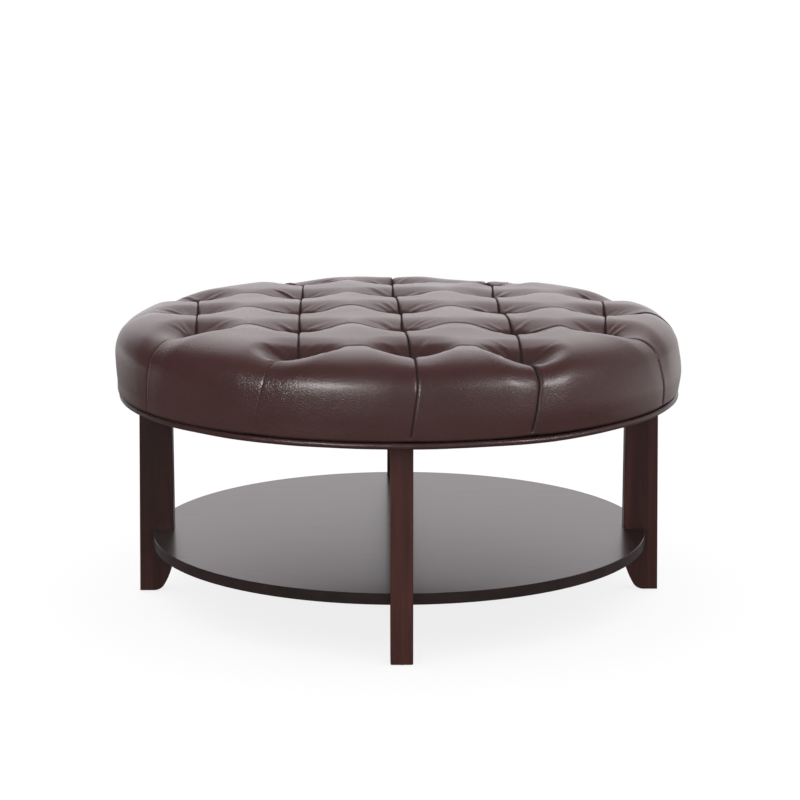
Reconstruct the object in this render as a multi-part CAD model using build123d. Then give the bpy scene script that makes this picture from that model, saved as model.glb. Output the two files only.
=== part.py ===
# Round ottoman coffee table: a tufted leather seat on four plank legs, with a round shelf
# near the floor that is tongued into them.
# Millimetres, Z up, the floor is z = 0 and the seat's centre line is the Z axis.
# The front faces -Y, and the four legs stand on the X and Y axes.

import os
from math import atan2, cos, degrees, hypot, radians, sin, sqrt

from build123d import *

os.makedirs("parts", exist_ok=True)

# Clearances
fit_gap = 0.3                 # soft pieces and loose fits
slip_gap = 0.2                # wood against wood that is slid together
overrun = 5.0                 # how far a cutting tool reaches past what it cuts

# Flats that stand for the round of small hidden fixings and of the holes they sit in
fixing_sides = 6
washer_sides = 8

# Seat cushion
seat_radius = 457.0           # over the fullest line of the sides
seat_height = 478.0           # floor to the crown of the cells
side_padding = 16.0           # cover and wadding over the hoop's outside
bolster_width = 87.0          # from the outermost tufts to the fullest line
rows_out = 2                  # tuft rows each side of the middle row
tuft_depth = 38.0             # from the crown of a cell to a tuft
tuft_filling = 13.0           # fibre left between a tuft and the foam
crown_radius = 330.0          # gentle arc over the middle of a cell
crown_reach_share = 0.6       # of the way from a cell's centre to its tufts
crown_end_share = 1.01        # how far the crown's outline runs, against the way to its tufts
bolster_drop = 7.0            # bolster crest below the cells' crown, mid panel
pleat_drop = 20.0             # bolster crest below the cells' crown, at a pleat
pleat_inset = 4.5             # how far a pleat is drawn in at the side
seam_step = 1.5               # bolster's inner seam lies this much under the cells' edge
corner_rise = 0.6             # broad corner panels swell this much above the cells
bolster_crest_share = 0.4     # crest's place between the tufts and the side
plumpness_share = 0.5         # low values fill a panel out right up to its pleats
piping_thickness = 8.4        # the welt's cord with its leather
piping_side_inset = 7.0       # the side is drawn in this far where it meets the piping

# Inside the seat
hoop_wall = 12.0
hoop_height = 60.0
deck_thickness = 12.0
foam_thickness = 19.7
foam_edge_radius = 12.0
foam_setback = 3.0            # foam edge inside the deck's edge
rail_thickness = 25.0
block_width = 80.0
block_margin = 3.0            # block's inner end past the leg plate
tie_diameter = 2.4
tie_bore = 3.0
deck_bore = 6.0
washer_diameter = 22.0
washer_thickness = 1.6
knot_diameter = 6.0
dust_cloth_thickness = 0.8
dust_cloth_setback = 3.0      # inside the hoop's outside
dust_cloth_margin = 1.5       # round the plates and the legs

# Legs
leg_thickness = 34.0
leg_setback = 35.4            # leg's outer face inside the seat's fullest line, at the top
leg_top_width = 52.0
leg_flare = 5.2               # outward lean of the outer face, top to floor
leg_arris = 2.0
foot_curve_height = 71.5      # where the inner edge starts to curve, above the foot
foot_curve_radius = 120.0
toe_radius = 20.0
glide_height = 1.5
glide_diameter = 15.0
glide_nail_diameter = 2.0
glide_nail_length = 14.0
glide_nail_head = 6.0
glide_nail_head_height = 0.7

# Shelf
shelf_top = 104.4
shelf_thickness = 17.5
shelf_setback = 21.5          # rim inside the legs' outer faces
shelf_arris = 1.0
tongue_thickness = 8.0        # the shelf's lower part, which enters a leg

# Leg plates and their fixings
plate_thickness = 3.0
plate_bar_width = 70.0
plate_bar_length = 24.0
plate_stem_width = 28.0
plate_stem_margin = 7.0       # stem's end short of the leg's outer face
plate_corner = 3.0
plate_bolt_spacing = 48.0
bolt_diameter = 6.0
bolt_head_diameter = 12.0
bolt_head_height = 3.3
bolt_bore = 6.6
tee_nut_barrel = 8.0
tee_nut_depth = 12.0
tee_nut_flange = 18.0
tee_nut_flange_thickness = 1.5
tee_nut_bore = 8.4
screw_diameter = 4.0
screw_head_diameter = 8.0
screw_point_share = 0.25      # tapered share of a screw's length
screw_tip_share = 0.15        # blunt tip, against the shank
head_crown_share = 0.6        # flat on top of a domed head, against the head's width
leg_screw_length = 38.0
leg_screw_spacing = 20.0
deck_screw_length = 35.0
deck_screw_count = 8
rail_screw_spacing = 250.0
hoop_screw_length = 40.0
hoop_screw_spacing = 30.0

# Shelf brackets
bracket_leg = 24.0            # length of each flange
bracket_width = 18.0
bracket_thickness = 2.0
bracket_bend_radius = 1.0
bracket_screw_length = 14.0
bracket_screw_height = 2.4
bracket_hole = 4.4

# Worked out from the sizes above
hoop_radius = seat_radius - side_padding
hoop_inner = hoop_radius - hoop_wall
tuft_level = seat_height - tuft_depth
foam_top = tuft_level - tuft_filling
foam_bottom = foam_top - foam_thickness
deck_top = foam_bottom - fit_gap
deck_bottom = deck_top - deck_thickness
seat_underside = deck_bottom - hoop_height
piping_radius = piping_thickness / 2
piping_ring = hoop_radius + fit_gap + piping_radius
piping_level = seat_underside + piping_radius
cover_edge = piping_level + piping_radius + fit_gap
tuft_pitch = (seat_radius - bolster_width) / hypot(rows_out, rows_out - 1)
leg_top = seat_underside
leg_outer_top = seat_radius - leg_setback
leg_inner = leg_outer_top - leg_top_width
leg_foot = glide_height
shelf_bottom = shelf_top - shelf_thickness
tongue_top = shelf_bottom + tongue_thickness

leg_names = ("right", "back", "left", "front")
leg_turn = 360 / len(leg_names)


def leg_outer(level):
    """Radius of a leg's outer face at a height."""
    return leg_outer_top + leg_flare * (leg_top - level) / leg_top


shelf_radius = leg_outer(shelf_top) - shelf_setback
tongue_radius = (leg_inner + shelf_radius) / 2


def save(name, shape):
    """Write one sub-part."""
    shape.label = name
    export_step(shape, "parts/" + name + ".step")


def turned(shape, angle):
    return Rot(0, 0, angle) * shape


def polar(angle, radius, level):
    return Vector(radius * cos(radians(angle)), radius * sin(radians(angle)), level)


def spin(points):
    """Revolve a straight-sided outline, given as (radius, height) points, about Z."""
    return revolve(make_face(Plane.XZ * Polyline(*points, close=True)), Axis.Z)


def rod(diameter, bottom, top):
    on_end = (Align.CENTER, Align.CENTER, Align.MIN)
    return Pos(0, 0, bottom) * Cylinder(diameter / 2, top - bottom, align=on_end)


def prism(across, bottom, top, sides=fixing_sides):
    """An upright bar with flats, across its corners as wide as the round it stands for."""
    return Pos(0, 0, bottom) * extrude(RegularPolygon(across / 2, sides), top - bottom)


def taper(points, sides=fixing_sides):
    """A ruled loft through polygons, given as (radius, height) from one end to the other."""
    rings = [Pos(0, 0, level) * RegularPolygon(radius, sides) for radius, level in points]
    return Solid.make_loft([ring.wire() for ring in rings], True)


def slab(x0, x1, y0, y1, z0, z1):
    """A box from its six limits."""
    return Pos(x0, y0, z0) * Box(x1 - x0, y1 - y0, z1 - z0, align=(Align.MIN, Align.MIN, Align.MIN))


# Tuft grid: a square grid without its four corners
def tuft_places():
    places = []
    rows = range(-rows_out, rows_out + 1)
    for along in rows:
        for across in rows:
            if abs(across) + abs(along) < 2 * rows_out:
                places.append((across * tuft_pitch, along * tuft_pitch))
    return places


# A cell of the seat: a revolved crown of two tangent arcs, cut square at its four seams
cell_reach = tuft_pitch / sqrt(2)
crown_reach = cell_reach * crown_reach_share
crown_angle = atan2(crown_reach, sqrt(crown_radius**2 - crown_reach**2))
crown_fall = crown_radius * (1 - cos(crown_angle))
fall_run = cell_reach - crown_reach
fall_drop = tuft_depth - crown_fall
fall_chord = hypot(fall_run, fall_drop)
fall_angle = 2 * (atan2(fall_drop, fall_run) - crown_angle)
fall_radius = fall_chord / (2 * sin(fall_angle / 2))


def cell_drop(distance):
    """Fall of the cell's surface at a distance from its centre."""
    if distance <= crown_reach:
        return crown_radius - sqrt(crown_radius**2 - distance**2)
    centre = crown_reach - fall_radius * sin(crown_angle)
    here = distance - centre
    return crown_fall + fall_radius * cos(crown_angle) - sqrt(fall_radius**2 - here**2)


def cell_crown():
    """The revolved solid that a cell is cut from, standing on the cover's lower edge."""
    top = Vector(0, 0, seat_height)
    half = crown_reach / 2
    knee = Vector(crown_reach, 0, seat_height - cell_drop(crown_reach))
    reach = cell_reach * crown_end_share
    rim = Vector(reach, 0, seat_height - cell_drop(reach))
    between = (crown_reach + reach) / 2
    edges = [
        ThreePointArc(top, Vector(half, 0, seat_height - cell_drop(half)), knee),
        ThreePointArc(knee, Vector(between, 0, seat_height - cell_drop(between)), rim),
        Line(rim, Vector(reach, 0, cover_edge)),
        Line(Vector(reach, 0, cover_edge), Vector(0, 0, cover_edge)),
        Line(Vector(0, 0, cover_edge), top),
    ]
    return revolve(make_face(edges), Axis.Z)


def tuft_field():
    """Prism of the octagon through the outermost tufts."""
    far = rows_out * tuft_pitch
    near = far - tuft_pitch
    corners = [(far, near), (near, far), (-near, far), (-far, near)]
    corners += [(-x, -y) for x, y in corners]
    outline = make_face(Polyline(*corners, close=True))
    height = seat_height + overrun - cover_edge
    return Pos(0, 0, cover_edge) * extrude(outline, height)


# The bolster round the rim: panels lofted from pleat to pleat
def panel_section(angle, inner, drop, fullness, crest):
    """Outline of the bolster in one radial plane.

    inner is the radius of the seam towards the cells, drop the seam's depth there,
    and fullness goes from 0 at a pleat to 1 in the middle of a panel.
    """
    side = seat_radius - pleat_inset * (1 - fullness)
    foot = seat_radius - piping_side_inset
    crest_radius = inner + bolster_crest_share * (side - inner)
    shoulder = side - crest_radius
    side_level = crest - shoulder
    seam_level = seat_height - drop
    rise = crest - seam_level
    run = crest_radius - inner
    roll = (run**2 + rise**2) / (2 * rise)
    half_roll = atan2(run, roll - rise) / 2
    roll_middle = (crest_radius - roll * sin(half_roll), crest - roll + roll * cos(half_roll))
    diagonal = shoulder * cos(radians(45))
    shoulder_middle = (crest_radius + diagonal, side_level + diagonal)
    depth = side_level - cover_edge
    inset = side - foot
    bulge = (depth**2 + inset**2) / (2 * inset)
    half_side = atan2(depth, bulge - inset) / 2
    side_middle = (side - bulge + bulge * cos(half_side), side_level - bulge * sin(half_side))
    edges = [
        Edge.make_line(polar(angle, inner, cover_edge), polar(angle, foot, cover_edge)),
        Edge.make_three_point_arc(
            polar(angle, foot, cover_edge), polar(angle, *side_middle), polar(angle, side, side_level)
        ),
        Edge.make_three_point_arc(
            polar(angle, side, side_level), polar(angle, *shoulder_middle), polar(angle, crest_radius, crest)
        ),
        Edge.make_three_point_arc(
            polar(angle, crest_radius, crest), polar(angle, *roll_middle), polar(angle, inner, seam_level)
        ),
        Edge.make_line(polar(angle, inner, seam_level), polar(angle, inner, cover_edge)),
    ]
    return Wire(edges)


panel_shares = (0, 0.25, 0.5, 0.75, 1)


def panel(start, end, cell_centre, crest):
    """One bolster panel between the tufts start and end, beside the cell at cell_centre."""
    first = degrees(atan2(start[1], start[0]))
    last = degrees(atan2(end[1], end[0]))
    across = (end[0] - start[0], end[1] - start[1])
    sections = []
    for share in panel_shares:
        angle = first + (last - first) * share
        way = (cos(radians(angle)), sin(radians(angle)))
        inner = (start[0] * across[1] - start[1] * across[0]) / (way[0] * across[1] - way[1] * across[0])
        seam = (inner * way[0] - cell_centre[0], inner * way[1] - cell_centre[1])
        fullness = sin(radians(180 * share)) ** plumpness_share
        drop = cell_drop(hypot(*seam)) + seam_step
        top = seat_height - pleat_drop + (crest - seat_height + pleat_drop) * fullness
        sections.append(panel_section(angle, inner, drop, fullness, top))
    return Solid.make_loft(sections)


def seat_quarter():
    """The cells and bolster panels between the right and the back leg."""
    field = tuft_field()
    crown = cell_crown()
    half = tuft_pitch / 2
    pieces = []
    for column in (1, 3):
        for row in (1, 3):
            box = slab(
                (column - 1) * half, (column + 1) * half, (row - 1) * half, (row + 1) * half,
                cover_edge, seat_height + overrun,
            )
            cell = box & (Pos(column * half, row * half, 0) * crown)
            pieces.append(cell & field if column == row and column > 1 else cell)
    far = rows_out * tuft_pitch
    near = far - tuft_pitch
    wide = far - half
    bolster_crest = seat_height - bolster_drop
    pieces.append(panel((far, 0), (far, near), (wide, half), bolster_crest))
    pieces.append(panel((far, near), (near, far), (wide, wide), seat_height + corner_rise))
    pieces.append(panel((near, far), (0, far), (half, wide), bolster_crest))
    return pieces[0].fuse(*pieces[1:])


def foam_outline(gap):
    """Foam pad, or with a gap the hollow that it fills."""
    edge = hoop_radius - foam_setback + gap
    top = foam_top + gap
    body = spin([(0, deck_top), (edge, deck_top), (edge, top), (0, top)])
    return fillet(body.edges().group_by(Axis.Z)[-1], foam_edge_radius)


def seat_cover():
    quarter = seat_quarter()
    whole = quarter.fuse(*[turned(quarter, leg_turn * turn) for turn in (1, 2, 3)])
    hollow = rod(2 * (hoop_radius + fit_gap), cover_edge - overrun, deck_top + fit_gap)
    return whole - hollow - foam_outline(fit_gap)


def piping():
    return Pos(0, 0, piping_level) * Torus(piping_ring, piping_radius)


# Inside the seat
def foam_pad():
    body = foam_outline(0) - rod(2 * seat_radius, deck_top - overrun, foam_bottom)
    bore = prism(deck_bore, deck_top - overrun, foam_top + overrun)
    return body - [Pos(x, y, 0) * bore for x, y in tuft_places()]


def screw_blank(length, head_height):
    """A countersunk screw pointing down, with the middle of its head's face at the origin."""
    shank = screw_diameter / 2
    point = length * screw_point_share
    return taper([
        (screw_head_diameter / 2, 0), (shank, -head_height),
        (shank, point - length), (shank * screw_tip_share, -length),
    ])


screw_head_height = (screw_head_diameter - screw_diameter) / 2


def deck_screw_places():
    middle = (hoop_radius + hoop_inner) / 2
    step = 360 / deck_screw_count
    places = []
    for index in range(deck_screw_count):
        spot = polar((2 * index + 1) * step / 2, middle, deck_top)
        places.append((spot.X, spot.Y))
    for side in (-1, 1):
        for along in (-1, 0, 1):
            places.append((along * rail_screw_spacing, side * rail_line))
    return places


rail_line = (block_width + rail_thickness) / 2
block_outer = hoop_inner - slip_gap


def seat_deck():
    body = rod(2 * hoop_radius, deck_bottom, deck_top)
    bore = prism(deck_bore, deck_bottom - overrun, deck_top + overrun)
    body = body - [Pos(x, y, 0) * bore for x, y in tuft_places()]
    tool = screw_blank(deck_screw_length, screw_head_height)
    return body - [Pos(x, y, deck_top) * tool for x, y in deck_screw_places()]


def hoop_screw_spots():
    """Placed copies of a hoop screw, pointing at the centre line."""
    tool = Rot(0, 90, 0) * screw_blank(hoop_screw_length, screw_head_height)
    middle = (seat_underside + deck_bottom) / 2
    spots = []
    for turn in range(len(leg_names)):
        for side in (-1, 1):
            level = middle + side * hoop_screw_spacing / 2
            spots.append(turned(Pos(hoop_radius, 0, level) * tool, turn * leg_turn))
    return spots


def deck_screw_spots():
    tool = screw_blank(deck_screw_length, screw_head_height)
    return [Pos(x, y, deck_top) * tool for x, y in deck_screw_places()]


def seat_hoop():
    body = rod(2 * hoop_radius, seat_underside, deck_bottom)
    body = body - rod(2 * hoop_inner, seat_underside - overrun, deck_bottom + overrun)
    # The cylinders' seams are turned clear of the screws
    body = turned(body, leg_turn / 2)
    return body - hoop_screw_spots() - deck_screw_spots()


def rail(side):
    """A rail along X, trimmed to the inside of the hoop."""
    near = side * rail_line - rail_thickness / 2
    body = slab(-hoop_inner, hoop_inner, near, near + rail_thickness, seat_underside, deck_bottom)
    body = body & rod(2 * (hoop_inner - slip_gap), seat_underside, deck_bottom)
    return body - deck_screw_spots()


def plate_outline(gap):
    """T-shaped plate on the X axis, its bar inboard of the leg and its stem over the leg."""
    inner = leg_inner - plate_bar_length - gap
    bar_end = leg_inner + gap
    bar = plate_bar_width / 2 + gap
    stem = plate_stem_width / 2 + gap
    outer = leg_outer_top - plate_stem_margin + gap
    points = [
        (inner, -bar), (bar_end, -bar), (bar_end, -stem), (outer, -stem),
        (outer, stem), (bar_end, stem), (bar_end, bar), (inner, bar),
    ]
    return make_face(Polyline(*points, close=True))


def plate_bolt_places():
    middle = leg_inner - plate_bar_length / 2
    return [(middle, side * plate_bolt_spacing / 2) for side in (-1, 1)]


def leg_screw_places():
    middle = (leg_inner + leg_outer_top - plate_stem_margin) / 2
    return [(middle + side * leg_screw_spacing / 2, 0) for side in (-1, 1)]


def leg_plate():
    sheet = Pos(0, 0, seat_underside) * extrude(plate_outline(0), plate_thickness)
    sheet = fillet(sheet.edges().filter_by(Axis.Z).sort_by(Axis.X)[:2], plate_corner)
    bore = prism(bolt_bore, seat_underside - overrun, seat_underside + plate_thickness + overrun)
    tool = screw_blank(leg_screw_length, screw_head_height)
    sheet = sheet - [Pos(x, y, 0) * bore for x, y in plate_bolt_places()]
    top = seat_underside + plate_thickness
    return sheet - [Pos(x, y, top) * tool for x, y in leg_screw_places()]


def leg_block():
    """Block that carries a leg, let out for the plate and the tee nuts."""
    half = block_width / 2
    inner = leg_inner - plate_bar_length - block_margin
    body = slab(inner, hoop_radius, -half, half, seat_underside, deck_bottom)
    body = body & turned(rod(2 * block_outer, seat_underside, deck_bottom), leg_turn / 2)
    recess = plate_thickness + fit_gap
    body = body - Pos(0, 0, seat_underside - overrun) * extrude(plate_outline(fit_gap), recess + overrun)
    bore = prism(tee_nut_bore, seat_underside, deck_bottom + overrun)
    seat_of_nut = deck_bottom - tee_nut_flange_thickness
    counterbore = prism(tee_nut_flange + fit_gap, seat_of_nut, deck_bottom + overrun)
    for x, y in plate_bolt_places():
        body = body - Pos(x, y, 0) * bore - Pos(x, y, 0) * counterbore
    return body - hoop_screw_spots()


def tee_nut():
    """Flange on top of the block, barrel down in its bore."""
    flange_bottom = deck_bottom - tee_nut_flange_thickness
    barrel_bottom = flange_bottom - tee_nut_depth
    body = prism(tee_nut_flange, flange_bottom, deck_bottom)
    body = body + prism(tee_nut_barrel, barrel_bottom, flange_bottom)
    return body - prism(bolt_diameter, barrel_bottom - overrun, deck_bottom + overrun)


def plate_bolt():
    """Bolt from below: its head bears on the plate and its shank ends in the tee nut."""
    head = bolt_head_diameter / 2
    low = seat_underside - bolt_head_height
    crown = taper([(head * head_crown_share, low), (head, seat_underside)])
    return crown + prism(bolt_diameter, seat_underside, deck_bottom)


def tuft_tie():
    """Twine from the cover down through foam and deck, with its knot below the washer."""
    knot_top = deck_bottom - washer_thickness
    twine = prism(tie_diameter, knot_top, foam_top + fit_gap)
    return twine + prism(knot_diameter, knot_top - knot_diameter / 2, knot_top)


def tuft_washer():
    ring = prism(washer_diameter, deck_bottom - washer_thickness, deck_bottom, washer_sides)
    return ring - prism(tie_bore, deck_bottom - washer_thickness - overrun, deck_bottom + overrun)


def dust_cloth():
    top = seat_underside - fit_gap
    bottom = top - dust_cloth_thickness
    body = rod(2 * (hoop_radius - dust_cloth_setback), bottom, top)
    bar = plate_bar_width / 2 + dust_cloth_margin
    side = leg_thickness / 2 + dust_cloth_margin
    inner = leg_inner - plate_bar_length - dust_cloth_margin
    low = bottom - overrun
    high = top + overrun
    window = slab(inner, leg_inner + dust_cloth_margin, -bar, bar, low, high)
    window = window + slab(leg_inner, seat_radius, -side, side, low, high)
    return body - [turned(window, turn * leg_turn) for turn in range(len(leg_names))]


# Legs and shelf
def leg():
    """A plank leg on the X axis, with a groove across its inner edge for the shelf's tongue."""
    start = leg_foot + foot_curve_height
    lean = foot_curve_radius - toe_radius
    turn = atan2(foot_curve_height - toe_radius, sqrt(lean**2 - (foot_curve_height - toe_radius) ** 2))
    centre = (leg_inner + foot_curve_radius, start)
    toe = (centre[0] - lean * cos(turn), leg_foot + toe_radius)
    meet = (centre[0] - foot_curve_radius * cos(turn), start - foot_curve_radius * sin(turn))
    curve_middle = (
        centre[0] - foot_curve_radius * cos(turn / 2), start - foot_curve_radius * sin(turn / 2)
    )
    toe_turn = (turn + radians(90)) / 2
    toe_middle = (toe[0] - toe_radius * cos(toe_turn), toe[1] - toe_radius * sin(toe_turn))
    outline = [
        Line((leg_inner, leg_top), (leg_inner, start)),
        ThreePointArc((leg_inner, start), curve_middle, meet),
        ThreePointArc(meet, toe_middle, (toe[0], leg_foot)),
        Line((toe[0], leg_foot), (leg_outer(leg_foot), leg_foot)),
        Line((leg_outer(leg_foot), leg_foot), (leg_outer_top, leg_top)),
        Line((leg_outer_top, leg_top), (leg_inner, leg_top)),
    ]
    face = Plane.XZ * make_face(outline)
    body = extrude(face, leg_thickness / 2, both=True)
    long_edges = [e for e in body.edges() if abs(e.center().Z - leg_top) > leg_arris
                  and e.bounding_box().size.Y < leg_arris]
    body = fillet(long_edges, leg_arris)
    groove_top = tongue_top + slip_gap
    body = body - slab(
        leg_inner - overrun, tongue_radius, -leg_thickness, leg_thickness, shelf_bottom, groove_top
    )
    tool = screw_blank(leg_screw_length, screw_head_height)
    top = leg_top + plate_thickness
    body = body - [Pos(x, y, top) * tool for x, y in leg_screw_places()]
    body = body - bracket_screw_spots()
    nail = prism(glide_nail_diameter, leg_foot, leg_foot + glide_nail_length)
    return body - Pos(glide_line, 0, 0) * nail


glide_line = leg_outer(leg_foot) - glide_diameter / 2 - leg_arris * 2


def shelf():
    """Round board, let in for each leg and left with a tongue that enters the leg's groove."""
    body = rod(2 * shelf_radius, shelf_bottom, shelf_top)
    body = chamfer(body.edges().filter_by(GeomType.CIRCLE), shelf_arris)
    side = leg_thickness / 2 + slip_gap
    far = shelf_radius + overrun
    slot = slab(tongue_radius, far, -side, side, shelf_bottom - overrun, shelf_top + overrun)
    slot = slot + slab(leg_inner - slip_gap, far, -side, side, tongue_top, shelf_top + overrun)
    body = body - [turned(slot, turn * leg_turn) for turn in range(len(leg_names))]
    screws = bracket_screw_spots()
    return body - [turned(tool, turn * leg_turn) for turn in range(len(leg_names)) for tool in screws]


def shelf_bracket():
    """Bent steel angle in the corner between the shelf's underside and a leg's inner edge."""
    far = leg_inner - bracket_leg
    low = shelf_bottom - bracket_leg
    thick = bracket_thickness
    points = [
        (leg_inner, shelf_bottom), (far, shelf_bottom), (far, shelf_bottom - thick),
        (leg_inner - thick, shelf_bottom - thick), (leg_inner - thick, low), (leg_inner, low),
    ]
    body = extrude(make_face(Plane.XZ * Polyline(*points, close=True)), bracket_width / 2, both=True)
    inside = body.edges().filter_by(Axis.Y).sort_by_distance((leg_inner - thick, 0, shelf_bottom - thick))[0]
    body = fillet(inside, bracket_bend_radius)
    bore = prism(bracket_hole, -bracket_leg, bracket_leg)
    reach = (bracket_leg + thick) / 2
    body = body - Pos(leg_inner - reach, 0, shelf_bottom) * bore
    return body - Pos(leg_inner, 0, shelf_bottom - reach) * Rot(0, 90, 0) * bore


def bracket_screw():
    """Pan-head screw pointing down, its head's underside at the origin."""
    head = screw_head_diameter / 2
    shank = screw_diameter / 2
    point = bracket_screw_length * screw_point_share
    crown = taper([(head, 0), (head * head_crown_share, bracket_screw_height)])
    return crown + taper([
        (shank, 0), (shank, point - bracket_screw_length), (shank * screw_tip_share, -bracket_screw_length)
    ])


def bracket_screw_spots():
    """The two screws of the bracket on the X axis: one up into the shelf, one into the leg."""
    reach = (bracket_leg + bracket_thickness) / 2
    up = Pos(leg_inner - reach, 0, shelf_bottom - bracket_thickness) * Rot(180, 0, 0) * bracket_screw()
    out = Pos(leg_inner - bracket_thickness, 0, shelf_bottom - reach) * Rot(0, -90, 0) * bracket_screw()
    return [up, out]


def glide():
    disc = rod(glide_diameter, 0, glide_height)
    nail_bore = prism(glide_nail_diameter, -overrun, glide_height + overrun)
    sunk_head = prism(glide_nail_head, -overrun, glide_height - glide_nail_head_height)
    return disc - nail_bore - sunk_head


def glide_nail():
    head_top = glide_height - glide_nail_head_height
    head = prism(glide_nail_head, head_top - glide_nail_head_height / 2, head_top)
    return head + prism(glide_nail_diameter, head_top, leg_foot + glide_nail_length)


def round_table(shape):
    """Copies of a shape, or of several, at the four legs."""
    shapes = shape if isinstance(shape, list) else [shape]
    copies = [turned(item, turn * leg_turn) for turn in range(len(leg_names)) for item in shapes]
    return Compound(children=copies)


def on_grid(shape):
    return Compound(children=[Pos(x, y, 0) * shape for x, y in tuft_places()])


save("seat_cover", seat_cover())
save("piping", piping())
save("foam_pad", foam_pad())
save("seat_deck", seat_deck())
save("seat_hoop", seat_hoop())
save("rail_front", rail(-1))
save("rail_back", rail(1))
save("tuft_ties", on_grid(tuft_tie()))
save("tuft_washers", on_grid(tuft_washer()))
save("dust_cloth", dust_cloth())
save("shelf", shelf())

for index, name in enumerate(leg_names):
    angle = index * leg_turn
    save("leg_" + name, turned(leg(), angle))
    save("leg_block_" + name, turned(leg_block(), angle))
    save("leg_plate_" + name, turned(leg_plate(), angle))
    save("shelf_bracket_" + name, turned(shelf_bracket(), angle))
    save("glide_" + name, turned(Pos(glide_line, 0, 0) * glide(), angle))

leg_screw = screw_blank(leg_screw_length, screw_head_height)
save("plate_bolts", round_table([Pos(x, y, 0) * plate_bolt() for x, y in plate_bolt_places()]))
save("tee_nuts", round_table([Pos(x, y, 0) * tee_nut() for x, y in plate_bolt_places()]))
save("leg_screws", round_table([
    Pos(x, y, leg_top + plate_thickness) * leg_screw for x, y in leg_screw_places()
]))
save("bracket_screws", round_table(bracket_screw_spots()))
save("deck_screws", Compound(children=deck_screw_spots()))
save("hoop_screws", Compound(children=hoop_screw_spots()))
save("glide_nails", round_table(Pos(glide_line, 0, 0) * glide_nail()))
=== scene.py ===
# Round tufted ottoman coffee table: the looks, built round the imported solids
import math

import bmesh
import bpy
import numpy as np
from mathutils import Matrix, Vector
from mathutils.geometry import delaunay_2d_cdt


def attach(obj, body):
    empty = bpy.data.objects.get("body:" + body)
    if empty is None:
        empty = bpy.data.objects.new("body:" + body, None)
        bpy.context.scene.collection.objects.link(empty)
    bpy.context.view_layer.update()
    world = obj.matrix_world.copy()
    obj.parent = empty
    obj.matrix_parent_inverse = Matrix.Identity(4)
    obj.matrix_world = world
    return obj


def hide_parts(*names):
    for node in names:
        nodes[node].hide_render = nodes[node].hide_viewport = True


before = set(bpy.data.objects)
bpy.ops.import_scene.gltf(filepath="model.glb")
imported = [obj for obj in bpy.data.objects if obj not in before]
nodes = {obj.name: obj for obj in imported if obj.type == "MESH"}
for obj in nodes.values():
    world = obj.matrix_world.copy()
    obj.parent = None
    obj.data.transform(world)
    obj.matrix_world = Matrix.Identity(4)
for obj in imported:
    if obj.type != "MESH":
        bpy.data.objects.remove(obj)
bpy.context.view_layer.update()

fullTurn = 2 * math.pi
quarterTurn = math.pi / 2
quarters = [quarter * quarterTurn for quarter in range(4)]
print("frame loaded with", len(nodes), "nodes")


# Small helpers
def addObject(name, data):
    thing = bpy.data.objects.new(name, data)
    bpy.context.scene.collection.objects.link(thing)
    return thing


def meshPiece(name, points, faces, material, smooth=True):
    mesh = bpy.data.meshes.new(name)
    mesh.from_pydata([tuple(p) for p in points], [], [tuple(f) for f in faces])
    mesh.polygons.foreach_set("use_smooth", [smooth] * len(mesh.polygons))
    mesh.materials.append(material)
    mesh.update()
    return addObject(name, mesh)


def stitch(here, there):
    # the quads between two rows of points
    return [(here[k], here[k + 1], there[k + 1], there[k]) for k in range(len(here) - 1)]


def turnOutwards(mesh, merge=0.0):
    # faces point outwards, after points closer than merge become one
    work = bmesh.new()
    work.from_mesh(mesh)
    if merge:
        bmesh.ops.remove_doubles(work, verts=work.verts, dist=merge)
    bmesh.ops.recalc_face_normals(work, faces=work.faces)
    work.to_mesh(mesh)
    work.free()


def smoothStep(value):
    value = np.clip(value, 0, 1)
    return value * value * (3 - 2 * value)


def rise(value, window):
    # 0 before the window's start and 1 past its length; a negative length falls
    start, length = window
    return smoothStep((value - start) / length)


def unit(turn):
    return np.array([math.cos(turn), math.sin(turn)])


def turnBetween(turn):
    # the same turn, between minus and plus half a turn
    return (turn + math.pi) % fullTurn - math.pi


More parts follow.
